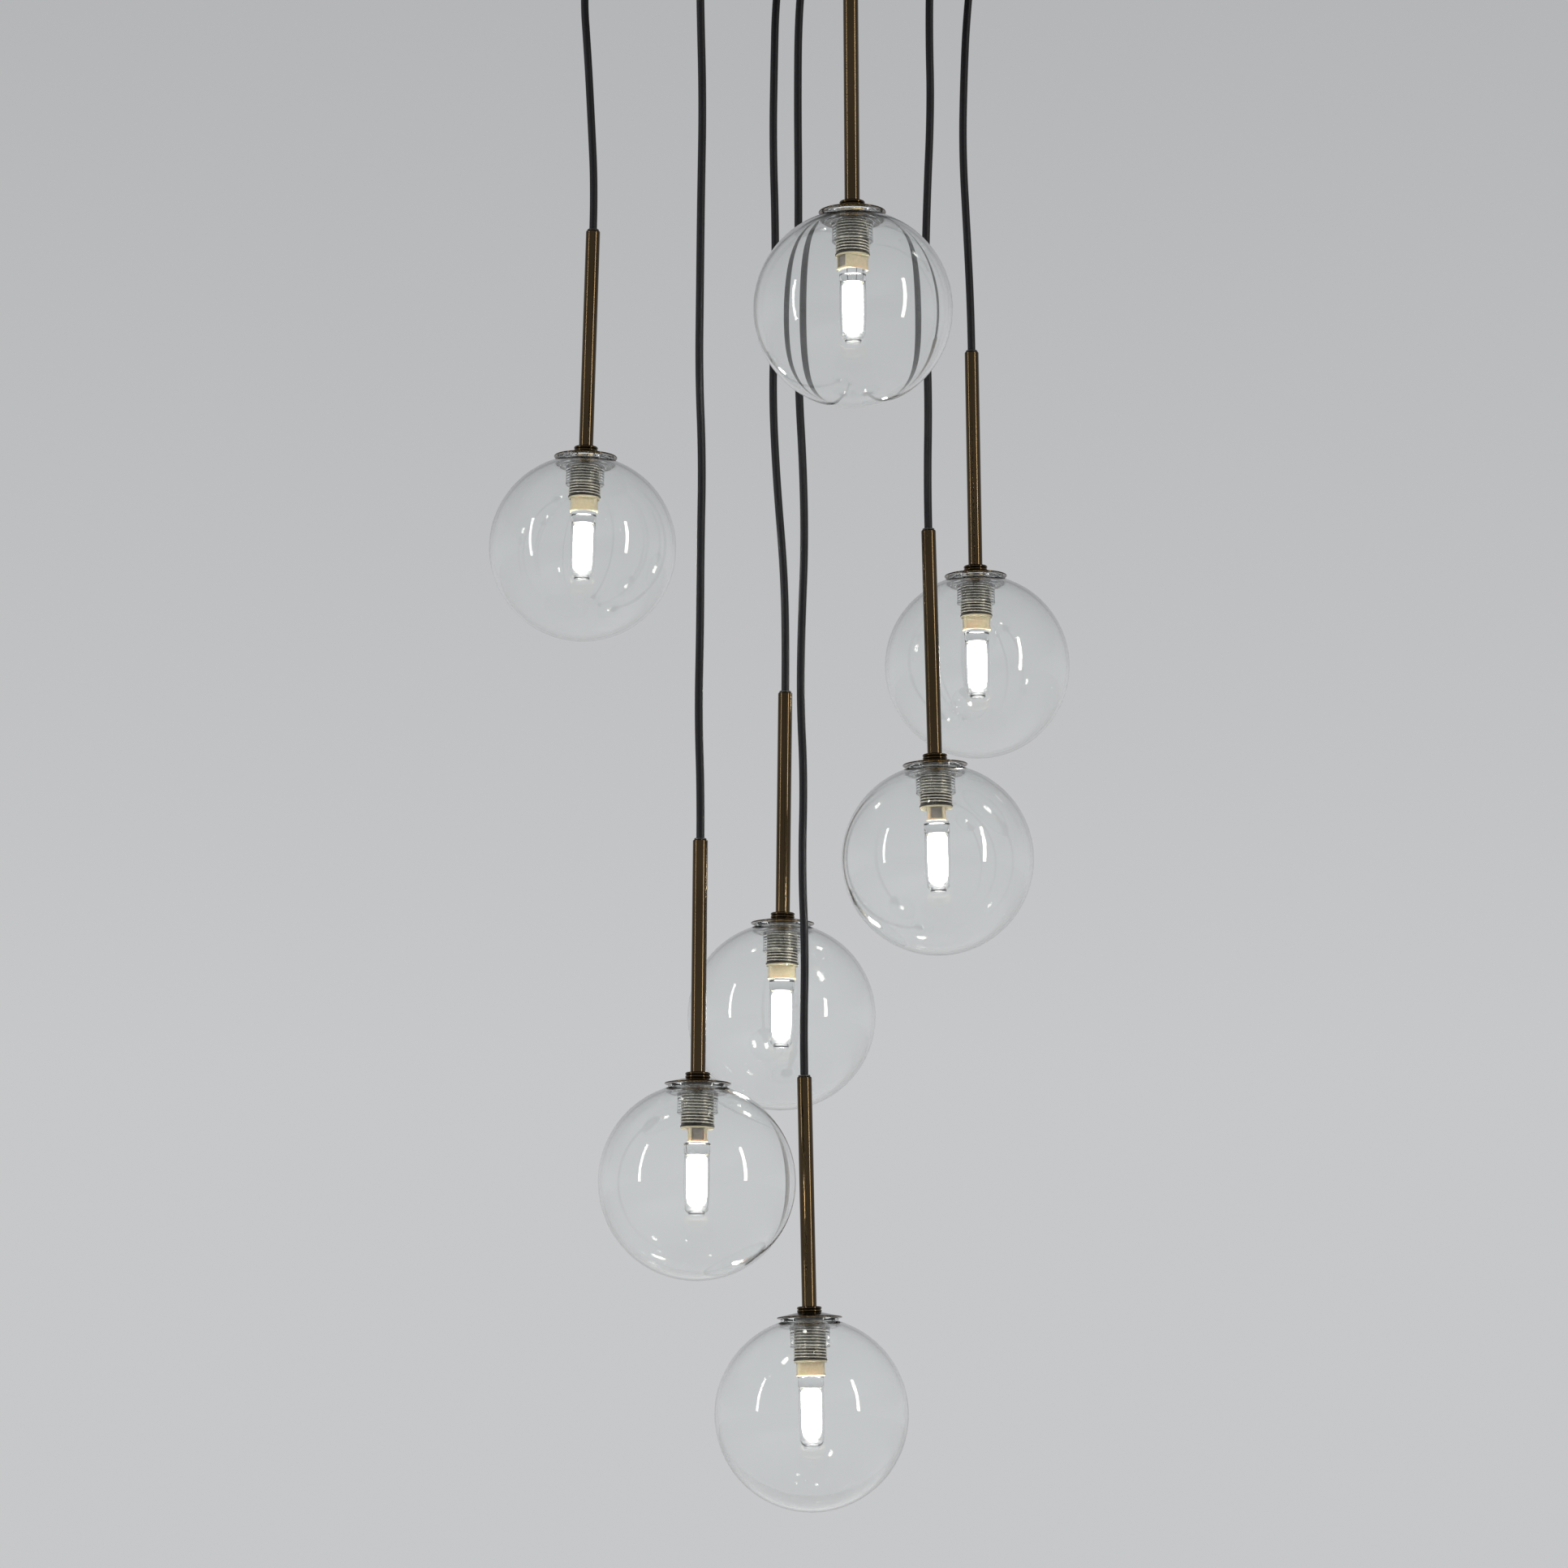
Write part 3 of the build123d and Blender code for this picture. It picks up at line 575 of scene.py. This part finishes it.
stem_outline = (
    [(TUBE_R - TUBE_WALL, STEM_FOOT), (TUBE_R - 0.0004, STEM_FOOT), (TUBE_R, STEM_FOOT + 0.0004)]
    + [(TUBE_R, 0.02 * k) for k in range(1, 8)]
    + arc((TUBE_R - RIM_ROUND, STEM_TOP - RIM_ROUND), RIM_ROUND, 0, 90, 8)
    + [(RIM_BORE + 0.0001, STEM_TOP), (RIM_BORE, STEM_TOP - 0.0001), (RIM_BORE, STEM_TOP - 0.0009)]
    + [(TUBE_R - TUBE_WALL, STEM_TOP - 0.0017)]
)
stem_mesh = turned_mesh("stem", [stem_outline], 64)

bush_outline = [
    (BUSH_BORE, STEM_TOP - 0.003), (BUSH_R, STEM_TOP - 0.003), (BUSH_R, STEM_TOP),
    (BUSH_LIP_R, STEM_TOP),
    *arc((BUSH_LIP_R - 0.0004, STEM_TOP + 0.0005), 0.0004, 0, 90, 5),
    *arc((BUSH_BORE + 0.0003, STEM_TOP + 0.0006), 0.0003, 90, 180, 4),
]
bush_mesh = turned_mesh("bush", [bush_outline], 48)

collar_top = CAP_RISE + 4 * BEAD_R
collar_outline = (
    [(SLIP_R, CAP_RISE), (COLLAR_R - 0.0009, CAP_RISE)]
    + arc((COLLAR_R - BEAD_R, CAP_RISE + BEAD_R), BEAD_R, -80, 80, 10)
    + arc((COLLAR_R - BEAD_R, CAP_RISE + 3 * BEAD_R), BEAD_R, -80, 80, 10)
    + [(COLLAR_R - 0.0009, collar_top), (TUBE_R + 0.0003, collar_top)]
    + [(SLIP_R, collar_top - 0.0002)]
)
collar_mesh = turned_mesh("collar", [collar_outline], 96)

for number, data in PENDANTS.items():
    place = hanging_place(data)
    body = f"pendant_{number}"
    node = f"stem_{number}"
    put(f"stem_tube_{number}", stem_mesh, place, body, dark_brass, "dark_brass", node)
    put(f"collar_ring_{number}", collar_mesh, place, body, dark_brass, "dark_brass", node)
    bush = put(
        f"cord_bush_{number}", bush_mesh, place, body, moulded_black, "cable_rubber",
        f"cable_{number}",
    )
print("stem", len(stem_mesh.polygons), "faces, collar", len(collar_mesh.polygons))

# %% [markdown]
# ## Cap disc and its fixings
#
# The disc is a spun cone, thin enough that its rim shows as a bright line. It is seen from below
# through the glass, so its underside, the washer and the lock nut matter as much as its top.

# %% Cap disc, washer and nut
CAP_R = 0.0220
SHEET = 0.0009
EDGE_R = SHEET / 2
WASHER_R = 0.0090
WASHER_FOOT = 0.0021


def spun_height(radius):
    """The cone's height at a radius: flat under the collar, then falling in a shallow bow."""
    seat = COLLAR_R + 0.0003
    if radius <= seat:
        return CAP_RISE
    t = (radius - seat) / (CAP_R - EDGE_R - seat)
    return CAP_RISE - (CAP_RISE - SHEET) * (0.93 * t + 0.07 * t * t)


cone_radii = [SLIP_R, 0.0070, COLLAR_R + 0.0001, COLLAR_R + 0.0005]
cone_radii += [0.0095 + 0.00115 * k for k in range(11)]
under = [(r, spun_height(r) - SHEET) for r in cone_radii]
rolled_edge = arc((CAP_R - EDGE_R, EDGE_R), EDGE_R, -80, 80, 8)
over = [(r, spun_height(r)) for r in reversed(cone_radii)]
disc_mesh = turned_mesh("disc", [under + rolled_edge + over], 128)

washer_outline = [
    (SLIP_R, WASHER_FOOT), (WASHER_R - 0.0002, WASHER_FOOT), (WASHER_R, WASHER_FOOT + 0.0002),
    (WASHER_R, CAP_RISE - SHEET), (SLIP_R, CAP_RISE - SHEET),
]
washer_mesh = turned_mesh("washer", [washer_outline], 64)
print("disc", len(disc_mesh.polygons), "faces, washer", len(washer_mesh.polygons))


# %% Lock nut
def hex_nut_mesh(name, flats, bore, low, high):
    """A hexagon nut: its corners are turned off at both ends, as on a real one."""
    steps = 48
    bevel = 0.0005
    corner = flats / 2 / math.cos(math.radians(30))
    levels = (
        (low, flats / 2), (low + bevel, corner), (high - bevel, corner), (high, flats / 2),
    )
    angles = [2 * math.pi * k / steps for k in range(steps)]
    mesh = bpy.data.meshes.new(name)
    shape = bmesh.new()
    rings = []
    for height, limit in levels:
        ring = []
        for a in angles:
            side = flats / 2 / math.cos((a + math.pi / 6) % (math.pi / 3) - math.pi / 6)
            r = min(side, limit)
            ring.append(shape.verts.new((r * math.cos(a), r * math.sin(a), height)))
        rings.append(ring)
    for height in (high, low):
        rings.append([
            shape.verts.new((bore * math.cos(a), bore * math.sin(a), height)) for a in angles
        ])
    for one, two in zip(rings, rings[1:] + rings[:1]):
        for k in range(steps):
            far = (k + 1) % steps
            shape.faces.new((one[k], one[far], two[far], two[k]))
    shape.to_mesh(mesh)
    shape.free()
    finish_shading(mesh, 25)
    return mesh


NUT_FLATS = 0.014
NUT_FOOT = -0.0009
lock_nut_mesh = hex_nut_mesh("lock_nut", NUT_FLATS, SLIP_R, NUT_FOOT, WASHER_FOOT)

for number, data in PENDANTS.items():
    place = hanging_place(data)
    body = f"pendant_{number}"
    node = f"cap_{number}"
    put(f"cap_disc_{number}", disc_mesh, place, body, dark_brass, "dark_brass", node)
    put(f"cap_washer_{number}", washer_mesh, place, body, bright_brass, "dark_brass", node)
    put(f"lock_nut_{number}", lock_nut_mesh, place, body, bright_brass, "dark_brass", node)
print("nut", len(lock_nut_mesh.polygons), "faces")

# %% [markdown]
# ## The threaded cup
#
# The lampholder's cup has a coarse outer thread for the glass neck. A thread follows a rule, so
# Geometry Nodes make it: a spiral gives the path, and a small rounded profile is swept along it.
# The cup itself is turned to the thread's root, and the ridge overlaps it.

# %% Thread ridge with Geometry Nodes
THREAD_TURNS = 11.0
THREAD_PITCH = 0.0020
THREAD_PATH_R = 0.0108
THREAD_FOOT = -0.0267
RIDGE_R = 0.00055


def thread_tree():
    """A node tree that sweeps a round ridge along a spiral."""
    tree = bpy.data.node_groups.new("thread_ridge", "GeometryNodeTree")
    tree.is_modifier = True
    sizes = {
        "Turns": THREAD_TURNS,
        "Pitch": THREAD_PITCH,
        "Path Radius": THREAD_PATH_R,
        "Ridge": RIDGE_R,
    }
    for label, value in sizes.items():
        socket = tree.interface.new_socket(label, in_out="INPUT", socket_type="NodeSocketFloat")
        socket.default_value = value
    tree.interface.new_socket("Metal", in_out="INPUT", socket_type="NodeSocketMaterial")
    tree.interface.new_socket("Geometry", in_out="OUTPUT", socket_type="NodeSocketGeometry")
    given = tree.nodes.new("NodeGroupInput")
    spiral = add_node(tree, "GeometryNodeCurveSpiral", Resolution=48)
    rise = tree.nodes.new("ShaderNodeMath")
    rise.operation = "MULTIPLY"
    profile = tree.nodes.new("GeometryNodeCurvePrimitiveCircle")
    profile.inputs["Resolution"].default_value = 8
    sweep = add_node(tree, "GeometryNodeCurveToMesh", Fill_Caps=True)
    smooth = tree.nodes.new("GeometryNodeSetShadeSmooth")
    real = tree.nodes.new("GeometryNodeRealizeInstances")
    paint = tree.nodes.new("GeometryNodeSetMaterial")
    out = tree.nodes.new("NodeGroupOutput")
    link = tree.links.new
    link(given.outputs["Turns"], spiral.inputs["Rotations"])
    link(given.outputs["Path Radius"], spiral.inputs["Start Radius"])
    link(given.outputs["Path Radius"], spiral.inputs["End Radius"])
    link(given.outputs["Turns"], rise.inputs[0])
    link(given.outputs["Pitch"], rise.inputs[1])
    link(rise.outputs["Value"], spiral.inputs["Height"])
    link(given.outputs["Ridge"], profile.inputs["Radius"])
    link(spiral.outputs["Curve"], sweep.inputs["Curve"])
    link(profile.outputs["Curve"], sweep.inputs["Profile Curve"])
    link(sweep.outputs["Mesh"], smooth.inputs["Geometry"])
    link(smooth.outputs["Geometry"], real.inputs["Geometry"])
    link(real.outputs["Geometry"], paint.inputs["Geometry"])
    link(given.outputs["Metal"], paint.inputs["Material"])
    link(paint.outputs["Geometry"], out.inputs["Geometry"])
    return tree


def grown_mesh(tree, name, **values):
    """The plain mesh that a node tree makes on an empty object, with its named inputs set."""
    host = bpy.data.objects.new(name, bpy.data.meshes.new(name))
    scene.collection.objects.link(host)
    modifier = host.modifiers.new("grow", "NODES")
    modifier.node_group = tree
    for item in tree.interface.items_tree:
        key = item.name.replace(" ", "_")
        if item.in_out == "INPUT" and key in values:
            modifier[item.identifier] = values[key]
    evaluated = host.evaluated_get(bpy.context.evaluated_depsgraph_get())
    mesh = bpy.data.meshes.new_from_object(evaluated)
    bpy.data.objects.remove(host)
    return mesh


ridge_tree = thread_tree()
ridge_mesh = grown_mesh(ridge_tree, "ridge", Turns=THREAD_TURNS, Metal=thread_metal)
ridge_mesh.transform(Matrix.Translation((0, 0, THREAD_FOOT)))
print("the ridge has", len(ridge_mesh.polygons), "faces")

# %% Cup
SHELL_TOP = NUT_FOOT
SHELL_BOTTOM = -0.0284
SHELL_R = 0.0113
ROOT_R = SHELL_R - 0.0006
CUP_BORE = 0.0100
LEDGE_Z = SHELL_TOP - 0.0032

cup_outline = [
    (SLIP_R, SHELL_TOP - 0.0076), (0.0072, SHELL_TOP - 0.0076), (0.0072, LEDGE_Z),
    (0.0088, LEDGE_Z), (CUP_BORE, SHELL_TOP - 0.0040), (CUP_BORE, SHELL_BOTTOM),
    *arc((SHELL_R - 0.00035, SHELL_BOTTOM + 0.0005), 0.0005, -90, 60, 8),
    (ROOT_R, SHELL_BOTTOM + 0.0018), (ROOT_R, -0.0200), (ROOT_R, -0.0120),
    *arc((SHELL_R - 0.0018, SHELL_TOP - 0.0027), 0.0012, 0, 90, 6),
    (0.0088, SHELL_TOP - 0.0012), (0.0078, SHELL_TOP - 0.0001), (0.0074, SHELL_TOP),
    (SLIP_R, SHELL_TOP),
]
cup_mesh = turned_mesh("cup", [cup_outline], 96)

for number, data in PENDANTS.items():
    place = hanging_place(data, turned=True)
    body = f"pendant_{number}"
    node = f"lampholder_{number}"
    # Dark cup and bright ridge: painted shade in the thread's grooves and a painted highlight on
    # its crests.
    put(f"holder_cup_{number}", cup_mesh, place, body, holder_metal, "holder_metal", node)
    put(f"holder_thread_{number}", ridge_mesh, place, body, thread_metal, "holder_metal", node)
print("the cup has", len(cup_mesh.polygons), "faces")

# %% [markdown]
# ## Copies of CAD solids
#
# Some solids already have the right shape and lack only softened edges. Their mesh is loose
# triangles, so a copy is merged first, its flat faces are joined up again, and then a small bevel
# catches the light along every edge.

# %% Bevelled copies
MERGE_DISTANCE = 1e-6
FLAT_DEGREES = 0.6
SHARP_DEGREES = 35


def softened(node, width, pick=None):
    """A copy of a CAD node's mesh with bevelled edges; pick keeps only some of its solids."""
    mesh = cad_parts[node].data.copy()
    shape = bmesh.new()
    shape.from_mesh(mesh)
    bmesh.ops.remove_doubles(shape, verts=shape.verts, dist=MERGE_DISTANCE)
    if pick is not None:
        keep_islands(shape, pick)
    bmesh.ops.dissolve_limit(
        shape, angle_limit=math.radians(FLAT_DEGREES), verts=shape.verts, edges=shape.edges,
    )
    joined = [edge for edge in shape.edges if len(edge.link_faces) == 2]
    sharp = [edge for edge in joined if edge.calc_face_angle(0) > math.radians(SHARP_DEGREES)]
    if width:
        bmesh.ops.bevel(
            shape, geom=sharp, offset=width, segments=2, profile=0.6, affect="EDGES",
            clamp_overlap=True,
        )
    shape.to_mesh(mesh)
    shape.free()
    finish_shading(mesh, 30)
    return mesh


def keep_islands(shape, pick):
    """Deletes the connected solids whose size and place the test turns down."""
    seen, unwanted = set(), []
    for first in shape.verts:
        island, waiting = [], [first]
        while waiting:
            vert = waiting.pop()
            if vert in seen:
                continue
            seen.add(vert)
            island.append(vert)
            waiting += [edge.other_vert(vert) for edge in vert.link_edges]
        if not island:
            continue
        low = Vector([min(v.co[i] for v in island) for i in range(3)])
        high = Vector([max(v.co[i] for v in island) for i in range(3)])
        if not pick(low, high):
            unwanted += island
    bmesh.ops.delete(shape, geom=unwanted, context="VERTS")


# A softened copy is in its place already. The ceramic is taller than any of its springs.
HERE = Matrix.Identity(4)
SPRINGS_UP_TO = 0.012

for number in PENDANTS:
    body = f"pendant_{number}"
    node = f"insert_{number}"
    ceramic = softened(node, 0.00025, lambda low, high: high.z - low.z > SPRINGS_UP_TO)
    springs = softened(node, 0.0, lambda low, high: high.z - low.z <= SPRINGS_UP_TO)
    put(f"ceramic_insert_{number}", ceramic, HERE, body, cream_ceramic, "cream_ceramic", node)
    put(f"contact_springs_{number}", springs, HERE, body, spring_steel, "holder_metal", node)
print("the ceramic has", len(ceramic.polygons), "faces, its springs", len(springs.polygons))

# %% [markdown]
# ## The capsule bulb
#
# A clear block carries the pins, and a clear capsule with a lit core hangs from it. The capsule is
# hollow, so it gets an inner surface too, drawn clockwise.

# %% Bulb
BULB_TOP = -0.0387
BASE_FOOT = -0.0461
BULB_R = 0.00875
BULB_WALL = 0.0009
BULB_FOOT = -0.0865
FOOT_RIM_R = 0.0054
PINS_UP_TO = 0.010

side = [
    (0.00835, BASE_FOOT - 0.0008), (0.00860, -0.0515), (BULB_R, -0.0570), (BULB_R, -0.0640),
    (0.0085, -0.0720), (0.0082, -0.0780), (0.0080, -0.0800),
]
base_block = [
    (BULB_R - 0.0004, BASE_FOOT), (BULB_R, BASE_FOOT + 0.0005), (BULB_R, BULB_TOP - 0.0004),
    (BULB_R - 0.0004, BULB_TOP), (0, BULB_TOP),
]
envelope_outline = (
    [(0, BULB_FOOT), (FOOT_RIM_R - 0.0003, BULB_FOOT), (FOOT_RIM_R, BULB_FOOT + 0.0003)]
    + [(FOOT_RIM_R, BULB_FOOT + 0.0012), (0.0062, -0.0847), (0.0070, -0.0838), (0.0077, -0.0822)]
    + side[::-1] + [(0.00835, BASE_FOOT)] + base_block
)
hollow_outline = (
    [(0, BASE_FOOT - BULB_WALL), (0.0073, BASE_FOOT - BULB_WALL)]
    + [(r - BULB_WALL, z) for r, z in side[1:]]
    + [(0.0067, -0.0818), (0.0058, -0.0832), (0.0040, -0.0842), (0, -0.0845)]
)
core_outline = [
    (0, -0.0768), *arc((0.0044, -0.0746), 0.0022, -90, 0, 8), (0.0068, -0.0640),
    *arc((0.0044, BASE_FOOT - 0.0038), 0.0024, 0, 90, 8), (0, BASE_FOOT - 0.0013),
]
envelope_mesh = turned_mesh("envelope", [envelope_outline, hollow_outline], 72, 40)
core_mesh = turned_mesh("core", [core_outline], 48, 40)

for number, data in PENDANTS.items():
    place = hanging_place(data, turned=True)
    body = f"lamp_{number}"
    node = f"bulb_{number}"
    pins = softened(node, 0.0002, lambda low, high: high.z - low.z < PINS_UP_TO)
    put(f"bulb_envelope_{number}", envelope_mesh, place, body, bulb_glass, "bulb_glass", node)
    put(f"bulb_core_{number}", core_mesh, place, body, lit_core, "bulb_glass", node)
    put(f"bulb_pins_{number}", pins, HERE, body, plated_steel, "holder_metal", node)
print("envelope", len(envelope_mesh.polygons), "faces")

# %% [markdown]
# ## The globe
#
# The ball is blown and the neck is pressed, and then the two are fused, so in the finished lamp
# they are one piece of glass. One outline draws it all: up the outside of the ball, over the
# flange, down the neck's bore, back up the outside of its sleeve, and down the ball's inside.

# %% Globe and neck
GLOBE_R = 0.0650
GLOBE_WALL = 0.0022
CROWN_R = 0.0196
NECK_BORE = 0.01165
SLEEVE_R = 0.0134
SLEEVE_FOOT = -0.0180
POINTS_PER_WAVE = 4

centre = (0.0, -GLOBE_DROP)
inner_r = GLOBE_R - GLOBE_WALL
outer_top = math.degrees(math.acos(CROWN_R / GLOBE_R))
inner_top = math.degrees(math.acos(CROWN_R / inner_r))


def moulded_thread(radius, swing, start, end):
    """Points along a sleeve whose radius waves once every pitch of the thread."""
    steps = round(abs(end - start) / THREAD_PITCH * POINTS_PER_WAVE)
    turn = 2 * math.pi / POINTS_PER_WAVE
    return [
        (radius + swing * math.cos(turn * k), start + (end - start) * k / steps)
        for k in range(steps + 1)
    ]


ball_outside = [(0, -GLOBE_DROP - GLOBE_R)] + arc(centre, GLOBE_R, -89, outer_top, 80)
flange = (
    [(CROWN_R, -0.0012)] + arc((CROWN_R - 0.0008, -0.0008), 0.0008, 10, 90, 5)
    + [(0.0150, 0.0), (0.0122, 0.0), (0.0118, -0.0004)]
)
sleeve = (
    moulded_thread(NECK_BORE, 0.00015, -0.0020, SLEEVE_FOOT)
    + arc((0.0123, -0.0190), 0.0005, 180, 270, 4)
    + arc((0.0129, -0.0189), 0.0006, -90, 0, 4)
    + moulded_thread(SLEEVE_R, 0.0001, SLEEVE_FOOT, -0.0100)
    + arc((0.0155, -0.0080), 0.0020, 180, 90, 6)
    + arc((0.0180, -0.0048), 0.0012, -90, -10, 5)
)
ball_inside = arc(centre, inner_r, inner_top - 0.8, -89, 80) + [(0, -GLOBE_DROP - inner_r)]
globe_mesh = turned_mesh("globe", [ball_outside + flange + sleeve + ball_inside], 128, 60)

for number, data in PENDANTS.items():
    put(
        f"glass_globe_{number}", globe_mesh, hanging_place(data), f"glass_{number}", globe_glass,
        "clear_glass", f"globe_{number}",
    )
print("the globe has", len(globe_mesh.polygons), "faces")

# %% [markdown]
# ## The canopy
#
# Above the cables sits the canopy: a spun pan round a steel cross bracket. The pan's lower edge is
# rounded, so it is turned anew with a fine round edge, and the fittings are softened copies.

# %% Canopy
CANOPY_R = 0.200
DEPTH = 0.050
SKIN = 0.0015
BEND = 0.008
BRIM_Z = -0.0005

bend_centre = (CANOPY_R - BEND, -DEPTH + BEND)
brim = [
    (CANOPY_R, BRIM_Z - 0.0003), (CANOPY_R - 0.0003, BRIM_Z),
    (CANOPY_R - SKIN + 0.0003, BRIM_Z), (CANOPY_R - SKIN, BRIM_Z - 0.0003),
]
pan_outline = (
    [(0, -DEPTH)] + arc(bend_centre, BEND, -90, 0, 12)
    + brim + arc(bend_centre, BEND - SKIN, 0, -90, 12) + [(0, -DEPTH + SKIN)]
)
pan_mesh = turned_mesh("pan", [pan_outline], 256)
put("canopy_pan", pan_mesh, HERE, "canopy", satin_black, "canopy_metal", "canopy_cover")
print("the pan has", len(pan_mesh.polygons), "faces")

# %% Cord grips
GRIP_BORE = 0.0028
GRIP_STEM_R = 0.0050
GRIP_TOP = -0.0400

grip_outline = [
    (GRIP_BORE, GRIP_TOP), (GRIP_BORE, -0.0503), (0.0032, -0.0503), (0.0032, GRIP_MOUTH_Z),
    (0.0038, -0.0550), (0.0048, -0.0580), *arc((0.0053, -0.0576), 0.0004, -90, 0, 4),
    (0.0062, -0.0574), (0.0068, -0.0528), (0.0074, -0.0520), (0.0074, -DEPTH),
    (GRIP_STEM_R, -DEPTH), (GRIP_STEM_R, GRIP_TOP),
]
grip_mesh = turned_mesh("grip", [grip_outline], 64)
for number, data in PENDANTS.items():
    place = Matrix.Translation((data["outlet_x"], data["globe"][1], 0))
    put(
        f"cord_grip_{number}", grip_mesh, place, "canopy", moulded_black, "black_plastic",
        "cord_grips",
    )
print("a grip has", len(grip_mesh.polygons), "faces")

# %% The other fittings
for node, width, finish, slot in (
    ("ceiling_bracket", 0.0004, plated_steel, "bracket_steel"),
    ("cover_screws", 0.0003, bright_brass, "brass_fittings"),
    ("grip_nuts", 0.0003, plated_steel, "bracket_steel"),
    ("grip_clamps", 0.0003, moulded_black, "black_plastic"),
    ("cable_tails", 0.0, sheath, "cable_rubber"),
    ("terminal_block", 0.0004, moulded_white, "white_plastic"),
    ("terminal_screws", 0.0002, plated_steel, "bracket_steel"),
    ("earth_stud", 0.0002, bright_brass, "brass_fittings"),
):
    fitting = put(f"{node}_dressed", softened(node, width), HERE, "canopy", finish, slot, node)
    print(fitting.name, len(fitting.data.polygons), "faces")
